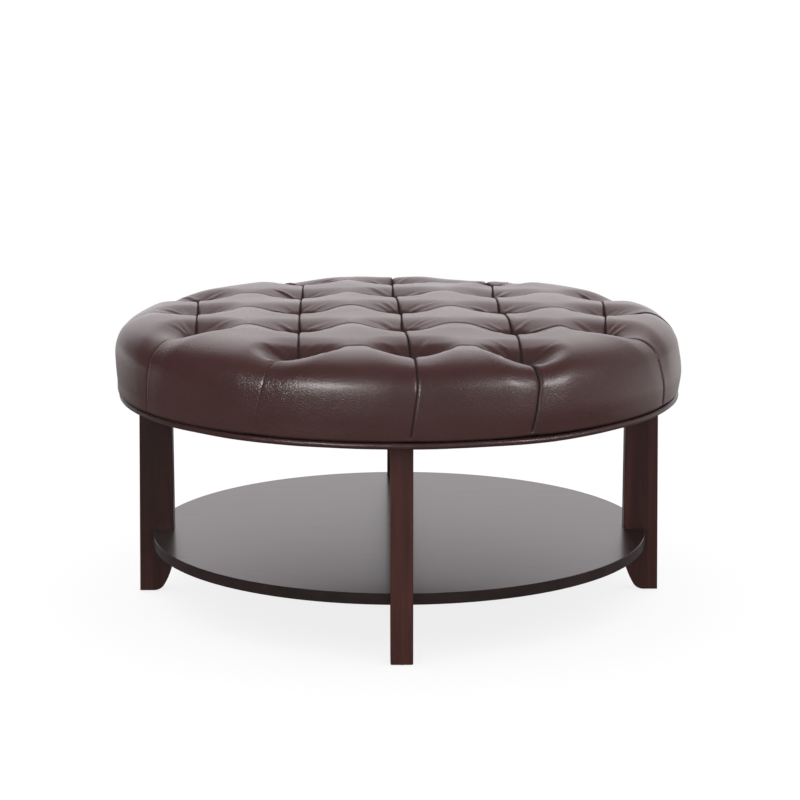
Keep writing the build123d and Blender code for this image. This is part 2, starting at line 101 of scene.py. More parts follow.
class NodeSheet:
    # a short way to add and join nodes in a tree
    def __init__(self, tree):
        self.tree = tree

    def join(self, output, target):
        self.tree.links.new(output, target)

    def add(self, kind, values=None, **options):
        node = self.tree.nodes.new(kind)
        for key, value in options.items():
            setattr(node, key, value)
        for key, value in (values or {}).items():
            if hasattr(value, "is_output"):
                self.join(value, node.inputs[key])
            else:
                node.inputs[key].default_value = value
        return node

    def math(self, operation, first, second=0.0):
        return self.add("ShaderNodeMath", {0: first, 1: second}, operation=operation).outputs[0]

    def vector(self, operation, first, second=(0, 0, 0)):
        node = self.add("ShaderNodeVectorMath", {0: first, 1: second}, operation=operation)
        return node.outputs["Value" if operation in ("DISTANCE", "LENGTH") else "Vector"]

    def scale(self, vector, share):
        return self.add("ShaderNodeVectorMath", {0: vector, "Scale": share}, operation="SCALE").outputs[0]

    def xyz(self, **parts):
        return self.add("ShaderNodeCombineXYZ", parts).outputs[0]

    def split(self, vector):
        return self.add("ShaderNodeSeparateXYZ", {0: vector}).outputs

    def noise(self, where, scale, detail, **more):
        values = {"Vector": where, "Scale": scale, "Detail": detail, **more}
        return self.add("ShaderNodeTexNoise", values).outputs

    def mixValue(self, amount, first, second):
        return self.add("ShaderNodeMix", {0: amount, 2: first, 3: second}).outputs[0]

    def mixColour(self, amount, first, second):
        node = self.add("ShaderNodeMix", {0: amount, 6: first, 7: second}, data_type="RGBA")
        return node.outputs[2]

    def mixShader(self, amount, first, second):
        return self.add("ShaderNodeMixShader", {0: amount, 1: first, 2: second}).outputs[0]

    def ramp(self, value, low, high):
        node = self.add("ShaderNodeValToRGB", {0: value})
        for stop, (place, colour) in zip(node.color_ramp.elements, (low, high)):
            stop.position, stop.color = place, colour
        return node.outputs[0]

    def spread(self, value, low, high, newLow=0.0, newHigh=1.0, kind="LINEAR"):
        values = {0: value, 1: low, 2: high, 3: newLow, 4: newHigh}
        return self.add("ShaderNodeMapRange", values, interpolation_type=kind).outputs[0]


def shaderGroup(name, sizes, results):
    # a group that takes a Vector and named sizes, and puts out named values
    group = bpy.data.node_groups.new(name, "ShaderNodeTree")
    group.interface.new_socket(name="Vector", in_out="INPUT", socket_type="NodeSocketVector")
    for label, value in sizes.items():
        socket = group.interface.new_socket(name=label, in_out="INPUT", socket_type="NodeSocketFloat")
        socket.default_value = value
    for label in results:
        group.interface.new_socket(name=label, in_out="OUTPUT", socket_type="NodeSocketFloat")
    sheet = NodeSheet(group)
    return group, sheet, sheet.add("NodeGroupInput").outputs, sheet.add("NodeGroupOutput").inputs


def shaded(colour, share=1.0):
    return (*[part * share for part in colour], 1)


def newMaterial(name, colour, roughness, metallic=0.0):
    material = bpy.data.materials.new(name)
    material.use_nodes = True
    sheet = NodeSheet(material.node_tree)
    shader = material.node_tree.nodes["Principled BSDF"].inputs
    shader["Base Color"].default_value = shaded(colour)
    shader["Roughness"].default_value = roughness
    shader["Metallic"].default_value = metallic
    where = sheet.add("ShaderNodeTexCoord").outputs["Object"]
    return material, sheet, shader, where


def bumpFrom(sheet, shader, height, strength, distance):
    bump = sheet.add("ShaderNodeBump", {"Height": height, "Strength": strength, "Distance": distance})
    sheet.join(bump.outputs[0], shader["Normal"])


noiseSpan = (0.3, 0.7)   # most of a noise lies between these


# Leather: pebbled grain, finer pores, soft tone changes, and painted shade in the folds
leatherLook = {
    "colour": (0.050, 0.0190, 0.0170), "darkTone": 0.80, "paleTone": 1.22, "toneScale": 9.0,
    "roughness": 0.31, "roughSpread": 0.05, "coat": 0.36, "coatRoughness": 0.28,
    "pebble": 0.0018, "pebbleSoftness": 0.6, "pore": 0.0006, "poreHeight": 0.35,
    "driftScale": 90.0, "drift": 0.004, "grainHeight": 0.00036,
    # the dark fold colour below is painted shade for the creases
    "creaseShadeColour": (0.024, 0.0060, 0.0050), "foldRoughness": 0.5, "foldDull": 0.8,
}


def makeHideGroup():
    look = leatherLook
    group, sheet, given, out = shaderGroup("hideGrain", {"Pebble": 0.002, "Pore": 0.0006}, ["Height", "Tone"])
    pebbleScale = sheet.math("DIVIDE", 1.0, given["Pebble"])
    poreScale = sheet.math("DIVIDE", 1.0, given["Pore"])
    drift = sheet.noise(given["Vector"], look["driftScale"], 2.0)
    bent = sheet.vector("MULTIPLY", drift["Color"], (look["drift"],) * 3)
    place = sheet.vector("ADD", given["Vector"], bent)
    cells = sheet.add("ShaderNodeTexVoronoi", {"Vector": place, "Scale": pebbleScale}, feature="SMOOTH_F1")
    cells.inputs["Smoothness"].default_value = look["pebbleSoftness"]
    pores = sheet.noise(place, poreScale, 3.0)
    pebbles = sheet.math("SUBTRACT", 1.0, cells.outputs["Distance"])
    height = sheet.math("ADD", pebbles, sheet.math("MULTIPLY", pores["Fac"], look["poreHeight"]))
    tone = sheet.noise(given["Vector"], look["toneScale"], 4.0, Roughness=0.55)
    sheet.join(height, out["Height"])
    sheet.join(tone["Fac"], out["Tone"])
    return group


hideGrain = makeHideGroup()


def makeLeather(name, darker=1.0, pebbleShare=1.0):
    look = leatherLook
    colour = [part * darker for part in look["colour"]]
    material, sheet, shader, where = newMaterial(name, colour, look["roughness"])
    sizes = {"Vector": where, "Pebble": look["pebble"] * pebbleShare, "Pore": look["pore"]}
    grain = sheet.add("ShaderNodeGroup", sizes, node_tree=hideGrain).outputs
    tone = sheet.mixColour(grain["Tone"], shaded(colour, look["darkTone"]), shaded(colour, look["paleTone"]))
    # painted shade: the leather colour goes dark towards the crease colour in the folds, in the groove above
    # the piping and on the lining, which are also made rougher and lose their coat there
    paintedFoldShade = sheet.add("ShaderNodeAttribute", attribute_name="paintedFoldShade").outputs["Fac"]
    tone = sheet.mixColour(paintedFoldShade, tone, shaded(look["creaseShadeColour"]))
    sheet.join(tone, shader["Base Color"])
    low, high = look["roughness"] - look["roughSpread"], look["roughness"] + look["roughSpread"]
    rough = sheet.spread(grain["Tone"], *noiseSpan, low, high)
    rough = sheet.math("ADD", rough, sheet.math("MULTIPLY", paintedFoldShade, look["foldRoughness"]))
    sheet.join(rough, shader["Roughness"])
    sheet.join(sheet.spread(paintedFoldShade, 0.0, look["foldDull"], look["coat"], 0.0), shader["Coat Weight"])
    shader["Coat Roughness"].default_value = look["coatRoughness"]
    bumpFrom(sheet, shader, grain["Height"], 1.0, look["grainHeight"])
    return material


seatLeather = makeLeather("seatLeather")
pipingLeather = makeLeather("pipingLeather", darker=0.85, pebbleShare=0.8)


# Wood: long fibres and darker streaks, stained on the legs and shelf and raw inside the seat
woodLooks = {
    "legWood": {"dark": (0.034, 0.0107, 0.0083), "light": (0.073, 0.0203, 0.0143),
                "stretch": (1.0, 1.0, 0.05), "roughness": 0.34, "bump": 0.12},
    "shelfWood": {"dark": (0.014, 0.0080, 0.0070), "light": (0.023, 0.0112, 0.0095), "coat": 0.30,
                  "stretch": (0.05, 1.0, 1.0), "roughness": 0.33, "bump": 0.015, "figureShare": 0.25},
    "rawPine": {"dark": (0.50, 0.34, 0.18), "light": (0.66, 0.49, 0.29), "fibre": 120.0, "streak": 18.0,
                "stretch": (0.06, 1.0, 1.0), "roughness": 0.75, "bump": 0.4},
    "rawPly": {"dark": (0.52, 0.38, 0.23), "light": (0.68, 0.53, 0.35), "fibre": 160.0, "streak": 14.0,
               "stretch": (1.0, 1.0, 0.2), "roughness": 0.72, "bump": 0.4},
}


figureLook = {
    "poreEdges": (0.42, 0.58), "poreDepth": 0.0002, "darkAt": 0.36, "lightAt": 0.66,
    "fineTone": (0.35, 0.65, 0.82, 1.12), "duller": 0.04, "glossier": 0.03, "coatRoughness": 0.12,
}


def makeFigureGroup():
    sizes = {"Fibre": 260.0, "Streak": 40.0}
    group, sheet, given, out = shaderGroup("woodFigure", sizes, ["Fibres", "Streaks", "Height"])
    fibres = sheet.noise(given["Vector"], given["Fibre"], 4.0, Roughness=0.6)
    streaks = sheet.noise(given["Vector"], given["Streak"], 3.0, Distortion=0.4)
    sheet.join(fibres["Fac"], out["Fibres"])
    sheet.join(streaks["Fac"], out["Streaks"])
    sheet.join(sheet.spread(fibres["Fac"], *figureLook["poreEdges"]), out["Height"])
    return group


woodFigure = makeFigureGroup()


def makeWood(name, dark, light, stretch, roughness, bump, fibre=260.0, streak=40.0, coat=0.0,
             figureShare=1.0):
    look = figureLook
    material, sheet, shader, where = newMaterial(name, dark, roughness)
    along = sheet.add("ShaderNodeMapping", {"Vector": where, "Scale": stretch}).outputs[0]
    sizes = {"Vector": along, "Fibre": fibre, "Streak": streak}
    figure = sheet.add("ShaderNodeGroup", sizes, node_tree=woodFigure).outputs
    tone = sheet.ramp(figure["Streaks"], (look["darkAt"], shaded(dark)), (look["lightAt"], shaded(light)))
    fine = sheet.spread(figure["Fibres"], *look["fineTone"])
    sheet.join(sheet.scale(tone, fine), shader["Base Color"])
    dull, glossy = roughness + look["duller"] * figureShare, roughness - look["glossier"] * figureShare
    sheet.join(sheet.spread(figure["Fibres"], *noiseSpan, dull, glossy), shader["Roughness"])
    if coat:
        shader["Coat Weight"].default_value = coat
        shader["Coat Roughness"].default_value = look["coatRoughness"]
    bumpFrom(sheet, shader, figure["Height"], bump, look["poreDepth"])
    return material


# Foam, twine, steel, nylon and cloth: a fine speckle in colour, gloss and height
plainLooks = {   # colour, roughness, metallic, speckles a metre, bump
    "padFoam": ((0.80, 0.72, 0.48), 0.9, 0.0, 700.0, 0.6),
    "tuftTwine": ((0.62, 0.53, 0.36), 0.8, 0.0, 1500.0, 0.6),
    "zincSteel": ((0.50, 0.50, 0.51), 0.38, 1.0, 160.0, 0.15),
    "darkNylon": ((0.030, 0.020, 0.017), 0.55, 0.0, 300.0, 0.2),
    "dustCloth": ((0.014, 0.014, 0.015), 0.88, 0.0, 1400.0, 0.7),
}


speckleLook = {"tone": 0.15, "glossier": 0.06, "duller": 0.08, "depth": 0.0003}


def makePlain(name, colour, roughness, metallic, speckle, bump):
    look = speckleLook
    material, sheet, shader, where = newMaterial(name, colour, roughness, metallic)
    noise = sheet.noise(where, speckle, 4.0)["Fac"]
    tone = sheet.mixColour(noise, shaded(colour, 1 - look["tone"]), shaded(colour, 1 + look["tone"]))
    sheet.join(tone, shader["Base Color"])
    glossy, dull = roughness - look["glossier"], roughness + look["duller"]
    sheet.join(sheet.spread(noise, *noiseSpan, glossy, dull), shader["Roughness"])
    bumpFrom(sheet, shader, noise, bump, look["depth"])
    return material


finishes = {name: makeWood(name, **look) for name, look in woodLooks.items()}
finishes.update({name: makePlain(name, *look) for name, look in plainLooks.items()})
print("materials made")


# Seat cushion: hand-tufted leather, its folds laid along the mesh lines
cushionSizes = {
    # the plain form, from the middle out and down to the flange
    "crownHeight": 0.4785, "fallStart": 0.15, "shoulderStart": 0.348, "shoulderDrop": 0.0075,
    "fullRadius": 0.457, "shoulderRadius": 0.455, "shoulderHeight": 0.069, "shoulderFullness": 2.5,
    "edgeRadius": 0.4530, "edgeLevel": 0.3437, "edgeCurl": 0.0058, "flangeRadius": 0.4424,
    "lining": ((0.4424, 0.3342), (0.4380, 0.3342), (0.4380, 0.3348), (0.4413, 0.3348),
               (0.4413, 0.4080), (0.4385, 0.4085), (0.4385, 0.4160), (0.4260, 0.4276)),
    # the mesh lines
    "columns": 50, "seamCrowd": 0.9, "ringRows": 80, "ringCrowd": (0.35, 0.85), "footRows": (5, 15),
    "topSteps": 200, "shoulderSteps": 240, "sideSteps": 70, "curlSteps": 12, "profileSteps": 1600,
    "normalSpan": 15,
    # tufts: each bowl is its share of the depth and its reach across and along
    "pitch": 0.16547, "tuftDepth": 0.038, "tuftBowls": ((0.28, 0.086, 0.066), (0.54, 0.036, 0.026)),
    "frontBowl": (0.80, 0.076, 0.054, 0.042), "tuftPinch": 0.019, "pinchShare": 0.75, "pinchPower": 1.5,
    "tuftWobble": (0.0025, 3.1, 5.7, 0.6),
    # seams across and along: step, valleys as depth and reach, fold's depth and width, far tuck
    "seams": (((1, 0), ((0.0010, 0.050), (0.0022, 0.011)), 0.0058, 0.0020, 0.0018),
              ((0, 1), ((0.0042, 0.080), (0.0006, 0.012)), 0.0042, 0.0009, 0.0005)),
    "foldDeepest": 0.0095, "foldWidest": 0.0048, "foldReach": 0.016, "foldLip": 0.0012,
    "lipWidth": 0.010, "tuckWidth": 0.020,
    # pleats, from the tuft out: way, valley's depth and width, crease's depth and width
    "pleatRun": ((0.0, 0.020, 0.075, 0.0085, 0.0070), (0.030, 0.0150, 0.072, 0.0058, 0.0034),
                 (0.060, 0.0078, 0.066, 0.0044, 0.0021), (0.100, 0.0034, 0.056, 0.0037, 0.0016),
                 (0.150, 0.0015, 0.042, 0.0034, 0.0014), (0.200, 0.0009, 0.032, 0.0031, 0.0013),
                 (0.290, 0.0003, 0.026, 0.0012, 0.0012)),
    "pleatSpan": 1.0, "pleatLip": 0.011, "pleatFarLip": -0.6, "lipStart": (0.0, 0.03),
    "footFade": (-0.018, 0.010),
    # uneven filling: crowned cells, a lower middle and front, and dips near the rim as turn, spread, drop
    "cellCrown": 0.0012, "crownFull": 0.6, "crownFade": (0.30, 0.08), "middleDrop": 0.0042,
    "frontDrop": 0.0028, "leftLift": 0.0012, "rimFade": (0.20, 0.12), "rimLevel": (0.372, 0.05),
    "rimDips": ((75.0, 7.0, 0.0052), (65.0, 4.5, -0.0036), (140.0, 22.0, 0.0014)),
    "rightTuck": 0.0044, "tuckRadius": (0.40, 0.05), "tuckLevel": (0.37, 0.05),
    "leftSwell": 0.0024, "swellLevel": (0.366, -0.020),
    "rippleWaves": (9, 12, 30), "rippleHeight": 0.0010, "rippleFull": (0.3, 0.5),
    "rippleLevel": (0.350, 0.020), "seed": 5,
    # where the leather's colour is darkened as painted shade: in folds, in the groove by the piping and on
    # the lining
    "foldShade": (0.0007, 0.0028), "footShade": (-0.0135, 0.0045), "liningShade": 0.5,
}
wrinkleSizes = {   # ranges for each wrinkle, and the shape that all share
    "perQuarter": 2, "aim": (0.35, 1.20), "start": (0.014, 0.024), "end": (0.050, 0.072),
    "width": (0.0026, 0.0044), "bend": (3.0, 9.0), "height": (0.0006, 0.0017), "bendFrom": 0.03,
    "widest": 1.2, "fadeIn": 0.014, "fadeOut": (-0.022, 0.024), "trough": 0.7, "troughOff": 1.7,
}
tuftShift = {   # how far each hand-made tuft sits from the square grid, across, in metres
    (-1, -2): 0.0127, (0, -2): 0.0163, (1, -2): 0.0156,
    (-2, -1): 0.0140, (-1, -1): 0.0089, (0, -1): 0.0039, (1, -1): 0.0125, (2, -1): -0.0113,
    (-2, 0): 0.0056, (-1, 0): 0.0053, (0, 0): 0.0032, (1, 0): -0.0004, (2, 0): 0.0050,
    (-2, 1): -0.0057, (-1, 1): 0.0036, (0, 1): -0.0076, (1, 1): -0.0036, (2, 1): 0.0106,
    (-1, 2): 0.0024, (0, 2): -0.0088, (1, 2): 0.0011,
}
seamLoop = [(2, -1), (2, 0), (2, 1), (1, 1), (1, 2), (0, 2), (-1, 2), (-1, 1),
            (-2, 1), (-2, 0), (-2, -1), (-1, -1), (-1, -2), (0, -2), (1, -2), (1, -1)]
pleatTurn = {   # each outer tuft's pleat: its turn at the shoulder and at the piping, its fold, its valley
    (2, -1): (-26.5, -25.4, 0.5, 0.75), (2, 0): (0.4, 0.8, 1.0, 0.45), (2, 1): (26.8, 27.2, 0.9, 0.30),
    (1, 2): (70.5, 70.0, 1.0, 0.12), (0, 2): (90.8, 91.0, 0.8, 0.28), (-1, 2): (121.0, 120.5, 1.0, 0.12),
    (-2, 1): (153.0, 152.4, 0.8, 0.30), (-2, 0): (180.4, 180.0, 1.0, 0.45),
    (-2, -1): (-147.7, -149.0, 0.45, 0.80), (-1, -2): (-116.8, -118.6, 0.26, 0.70),
    (0, -2): (-87.1, -88.6, 0.9, 1.0), (1, -2): (-63.0, -65.2, 1.1, 1.05),
}


def tuftSpot(key):
    pitch = cushionSizes["pitch"]
    most, acrossPace, alongPace, phase = cushionSizes["tuftWobble"]
    wobble = most * math.sin(acrossPace * key[0] + alongPace * key[1] + phase)
    return np.array([key[0] * pitch + tuftShift[key], key[1] * pitch + wobble])


def sideProfile():
    # radius, height and outward normal of the plain cushion, by distance from its middle
    c = cushionSizes
    top = np.linspace(0, c["shoulderStart"], c["topSteps"])
    fall = c["shoulderDrop"] * rise(top, (c["fallStart"], c["shoulderStart"] - c["fallStart"]))
    radii = list(top)
    levels = list(c["crownHeight"] - fall)
    wide = c["fullRadius"] - c["shoulderStart"]
    start = c["crownHeight"] - c["shoulderDrop"]
    power = 2 / c["shoulderFullness"]
    for turn in np.linspace(0, quarterTurn, c["shoulderSteps"])[1:]:
        radii.append(c["shoulderStart"] + wide * math.sin(turn) ** power)
        levels.append(start - c["shoulderHeight"] * (1 - math.cos(turn) ** power))
    low = start - c["shoulderHeight"]
    for share in np.linspace(0, 1, c["sideSteps"])[1:]:
        radii.append(c["fullRadius"] - (c["fullRadius"] - c["edgeRadius"]) * share**2)
        levels.append(low - (low - c["edgeLevel"] - c["edgeCurl"]) * share)
    for turn in np.linspace(0, quarterTurn, c["curlSteps"])[1:]:
        radii.append(c["edgeRadius"] - c["edgeCurl"] * (1 - math.cos(turn)))
        levels.append(c["edgeLevel"] + c["edgeCurl"] * (1 - math.sin(turn)))
    radii.append(c["flangeRadius"])
    levels.append(c["edgeLevel"])
    radii, levels = np.array(radii), np.array(levels)
    steps = np.hypot(np.diff(radii), np.diff(levels))
    steps[:len(top) - 1] = np.diff(top)
    way = np.concatenate([[0], np.cumsum(steps)])
    even = np.linspace(0, way[-1], c["profileSteps"])
    radii, levels = np.interp(even, way, radii), np.interp(even, way, levels)
    soften = np.ones(c["normalSpan"]) / c["normalSpan"]
    padded = [np.pad(np.gradient(part), c["normalSpan"] // 2, mode="edge") for part in (levels, radii)]
    fall, run = [np.convolve(part, soften, mode="valid") for part in padded]
    size = np.hypot(fall, run)
    normals = np.stack([-fall / size, run / size], axis=1)
    return even, radii, levels, normals


def crowdEnds(count, share):
    even = np.linspace(0, 1, count + 1)
    return (1 - share) * even + share * (0.5 - 0.5 * np.cos(math.pi * even))


def ripple(rng, count, low, high):
    # a smooth wandering field made of a few waves
    waves = []
    for _ in range(count):
        turn = rng.uniform(0, fullTurn)
        pace = rng.uniform(low, high)
        waves.append((pace * math.cos(turn), pace * math.sin(turn), rng.uniform(0, fullTurn)))

    def field(x, y):
        total = np.zeros_like(x)
        for paceX, paceY, phase in waves:
            total = total + np.sin(paceX * x + paceY * y + phase)
        return total / math.sqrt(count)
    return field


def wave(reach):
    # soft valley: 1 in its line, 0 from a reach of 1 on
    return 0.5 + 0.5 * np.cos(math.pi * np.clip(reach, 0, 1))


def hump(across, width):
    return np.exp(-((across / width) ** 2))


def fold(across, width, rounding=0.35):
    # tight fold of the leather: steep walls that round off at the top
    return np.exp(-across / width) * (1 + rounding * across / width)


def buildCushion():
    c = cushionSizes
    rng = np.random.default_rng(c["seed"])
    spots = {key: tuftSpot(key) for key in tuftShift}
    way, radii, levels, normals = sideProfile()
    share = crowdEnds(c["columns"], c["seamCrowd"])
    points = []          # each point's reach along the profile and its turn
    faces = []
    lookup = {}
    finest = 1e6         # neighbours share a point where they agree to a micrometre

    def pointAt(place, reach, turn):
        if place not in lookup:
            lookup[place] = len(points)
            points.append((reach, turn))
        return lookup[place]

    def planPoint(x, y):
        return pointAt((round(x * finest), round(y * finest)), math.hypot(x, y), math.atan2(y, x))

    def ringPoint(reach, turn):
        return pointAt((round(turn * finest), round(reach * finest), 1), reach, turn)

    # The twelve whole cells
    for column in range(-2, 2):
        for row in range(-2, 2):
            corners = [(column, row), (column + 1, row), (column + 1, row + 1), (column, row + 1)]
            if not all(corner in spots for corner in corners):
                continue
            a, b, d, e = [spots[corner] for corner in corners]
            grid = [[planPoint(*((1 - u) * (1 - v) * a + u * (1 - v) * b + u * v * d + (1 - u) * v * e))
                     for u in share] for v in share]
            for here, there in zip(grid, grid[1:]):
                faces += stitch(here, there)

    # The bolster, out from the loop of seams and down the side
    last = way[-1]
    turns = {index: [math.radians(t) for t in pleatTurn[key][:2]]
             for index, key in enumerate(seamLoop) if key in pleatTurn}
    for index in range(len(seamLoop)):
        if index not in turns:
            pairs = zip(turns[index - 1], turns[(index + 1) % len(seamLoop)])
            turns[index] = [0.5 * (before + after) for before, after in pairs]
    evenPart, power = c["ringCrowd"]
    steps = np.linspace(0, 1, c["ringRows"] + 1)
    steps = evenPart * steps + (1 - evenPart) * (1 - np.cos(math.pi * steps / 2)) ** power
    coarse, fine = c["footRows"]
    steps = np.concatenate([steps[:-coarse], np.linspace(steps[-coarse - 1], 1, fine)[1:]])
    shoulderWay = way[np.argmax(radii > c["shoulderRadius"])]
    rings = []
    for index, key in enumerate(seamLoop):
        nextIndex = (index + 1) % len(seamLoop)
        start, end = spots[key], spots[seamLoop[nextIndex]]
        first, second = turns[index], turns[nextIndex]
        for u in share[:-1]:
            base = (1 - u) * start + u * end
            baseReach = math.hypot(*base)
            gap = [turnBetween(s - f) for f, s in zip(first, second)]
            rimTurn, footTurn = [f + u * g for f, g in zip(first, gap)]
            rim = c["fullRadius"] * unit(rimTurn)
            line = [planPoint(*base)]
            for step in steps[1:]:
                reach = baseReach + (last - baseReach) * step
                if reach < shoulderWay:
                    radius = np.interp(reach, way, radii)
                    run = rim - base
                    aa, bb, cc = run @ run, 2 * base @ run, base @ base - radius**2
                    t = (-bb + math.sqrt(max(bb * bb - 4 * aa * cc, 0))) / (2 * aa)
                    spot = base + min(t, 1) * run
                    turn = math.atan2(spot[1], spot[0])
                else:
                    down = (reach - shoulderWay) / (last - shoulderWay)
                    turn = math.atan2(rim[1], rim[0]) + (footTurn - rimTurn) * down
                line.append(ringPoint(reach, turn))
            rings.append(line)
    for here, there in zip(rings, rings[1:] + rings[:1]):
        faces += stitch(here, there)

    table = np.array(points)
    reach, turn = table[:, 0], table[:, 1]
    x, y = reach * np.cos(turn), reach * np.sin(turn)
    radius = np.interp(reach, way, radii)
    level = np.interp(reach, way, levels)
    outward = np.interp(reach, way, normals[:, 0])
    upward = np.interp(reach, way, normals[:, 1])

    # How far each tuft, seam and fold draws the leather in
    full = np.ones(len(points))
    folds = np.zeros(len(points))
    lips = np.zeros(len(points))
    depth = c["tuftDepth"]
    for key, spot in spots.items():
        offX, offY = x - spot[0], y - spot[1]
        away = np.hypot(offX, offY)
        bowls = c["tuftBowls"]
        if key[1] == -2:
            bowl, wide, near, far = c["frontBowl"]
            bowls = [(bowl, wide, np.where(offY < 0, near, far))]
        for bowl, reachX, reachY in bowls:
            full = full * (1 - bowl * wave(np.hypot(offX / reachX, offY / reachY)))
        pinch = np.clip(1 - away / c["tuftPinch"], 0, 1) ** c["pinchPower"]
        full = full * (1 - c["pinchShare"] * pinch)
    for key, spot in spots.items():
        for step, valleys, foldDepth, foldWidth, farTuck in c["seams"]:
            other = (key[0] + step[0], key[1] + step[1])
            if other not in spots:
                continue
            run = spots[other] - spot
            length = math.hypot(*run)
            offX, offY = x - spot[0], y - spot[1]
            along = (offX * run[0] + offY * run[1]) / length
            offSeam = (offX * run[1] - offY * run[0]) / length
            inside = np.clip(along, 0, length)
            away = np.hypot(offSeam, along - inside)
            near = np.minimum(inside, length - inside)
            falloff = np.exp(-near / c["foldReach"])
            for mid, roll in valleys:
                full = full * (1 - mid / depth * wave(away / roll))
            deep = foldDepth + (c["foldDeepest"] - foldDepth) * falloff
            wide = foldWidth + (c["foldWidest"] - foldWidth) * falloff
            folds = np.maximum(folds, deep * fold(away, wide))
            lip = np.where(offSeam > 0, c["foldLip"] * hump(away, c["lipWidth"]),
                           -farTuck * hump(away, c["tuckWidth"]))
            lips = lips + lip * (1 - falloff)

    # Pleats over the shoulder
    pleatWay, valleyDepth, valleyWide, creaseDepth, creaseWide = zip(*c["pleatRun"])
    for index, key in enumerate(seamLoop):
        if key not in pleatTurn:
            continue
        strength, dip = pleatTurn[key][2:]
        line = rings[index * (len(share) - 1)]
        pathReach, pathTurn = reach[line], np.unwrap(turn[line])
        order = np.argsort(pathReach)
        atTurn = np.interp(reach, pathReach[order], pathTurn[order])
        off = turnBetween(turn - atTurn)
        along = reach - pathReach[order][0]
        side = off * radius
        away = np.hypot(side, np.clip(-along, 0, None))
        near = np.abs(off) < c["pleatSpan"]
        valley = np.interp(along, pleatWay, valleyDepth) * dip
        shape = wave(away / np.interp(along, pleatWay, valleyWide))
        full = full * (1 - np.where(near, valley / depth * shape, 0))
        deep = np.interp(along, pleatWay, creaseDepth) * strength
        crease = deep * fold(away, np.interp(along, pleatWay, creaseWide))
        folds = np.maximum(folds, np.where(near, crease, 0))
        lip = c["foldLip"] * hump(away, c["pleatLip"]) * np.where(side > 0, 1, c["pleatFarLip"])
        lips = lips + np.where(near, lip * strength * rise(along, c["lipStart"]), 0)
    foot = 1 - rise(reach - last, c["footFade"])
    folds = folds * foot

    # Filling that is a little uneven, from side to side and near the rim
    drawn = depth * (1 - full) + folds - lips * foot
    crown = np.clip((full - c["crownFull"]) / (1 - c["crownFull"]), 0, 1)
    swell = c["cellCrown"] * crown * (1 - rise(radius, c["crownFade"]))
    outer = rise(radius, c["rimFade"]) * rise(level, c["rimLevel"])
    drawn = drawn + c["middleDrop"] * (1 - rise(radius, c["rimFade"]))
    drawn = drawn + c["frontDrop"] * np.abs(np.sin(turn)) * outer
    drawn = drawn + c["leftLift"] * np.cos(turn) * outer
    for middle, wide, drop in c["rimDips"]:
        off = turnBetween(turn - math.radians(middle))
        drawn = drawn + drop * outer * hump(off, math.radians(wide))
    right = np.clip(np.cos(turn), 0, 1) ** 2
    left = np.clip(-np.cos(turn), 0, 1) ** 2
    drawn = drawn + c["rightTuck"] * right * rise(radius, c["tuckRadius"]) * rise(level, c["tuckLevel"])
    drawn = drawn - c["leftSwell"] * left * rise(level, c["swellLevel"])
    slow = ripple(rng, *c["rippleWaves"])
    slow = slow(x, y) * rise(full, c["rippleFull"]) * rise(level, c["rippleLevel"])
    drawn = drawn - swell - c["rippleHeight"] * slow

    # Wrinkles that run from the tufts up into the cells
    w = wrinkleSizes
    for key, spot in spots.items():
        offX, offY = x - spot[0], y - spot[1]
        away = np.hypot(offX, offY)
        facing = np.arctan2(offY, offX)
        for quarter in range(4):
            for _ in range(w["perQuarter"]):
                middle = quarters[quarter] + rng.uniform(*w["aim"])
                first, second = rng.uniform(*w["start"]), rng.uniform(*w["end"])
                thin = rng.uniform(*w["width"])
                bend = rng.uniform(*w["bend"]) * (1 if quarter % 2 else -1)
                high = rng.uniform(*w["height"])
                swing = turnBetween(facing - middle - bend * (away - w["bendFrom"]))
                across = np.clip(swing, -w["widest"], w["widest"]) * away
                along = rise(away, (first, w["fadeIn"])) * (1 - rise(away - second, w["fadeOut"]))
                shape = hump(across, thin) - w["trough"] * hump(across - w["troughOff"] * thin, thin)
                drawn = drawn - high * along * shape

    atX = (radius - outward * drawn) * np.cos(turn)
    atY = (radius - outward * drawn) * np.sin(turn)
    atZ = level - upward * drawn
    # painted shade: the colour is darkened in deep folds and towards the groove above the piping
    start, length = c["foldShade"]
    shade = np.clip((folds - start) / length, 0, 1)
    shade = np.maximum(shade, rise(reach - last, c["footShade"]))

    # Lining, which closes the cushion round the hoop, the deck and the foam
    edge = [line[-1] for line in rings]
    total = list(np.stack([atX, atY, atZ], axis=1))
    previous = edge
    for r, z in c["lining"]:
        ring = []
        for k in edge:
            ring.append(len(total))
            total.append((r * math.cos(turn[k]), r * math.sin(turn[k]), z))
        for k in range(len(ring)):
            n = (k + 1) % len(ring)
            faces.append((previous[k], ring[k], ring[n], previous[n]))
        previous = ring
    middle = len(total)
    total.append((0, 0, c["lining"][-1][1]))
    for k in range(len(previous)):
        faces.append((previous[k], middle, previous[(k + 1) % len(previous)]))
    piece = meshPiece("leatherCushion", total, faces, seatLeather)
    # painted shade: the lining is darkened by half, the cushion's points by their fold shade
    paintedFoldShade = np.full(len(total), c["liningShade"], np.float32)
    paintedFoldShade[:len(shade)] = shade
    piece.data.attributes.new("paintedFoldShade", "FLOAT", "POINT").data.foreach_set("value", paintedFoldShade)
    turnOutwards(piece.data)
    return piece


cushion = buildCushion()
print("cushion made", len(cushion.data.polygons), "faces")
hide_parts("seat_cover")
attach(cushion, "root")


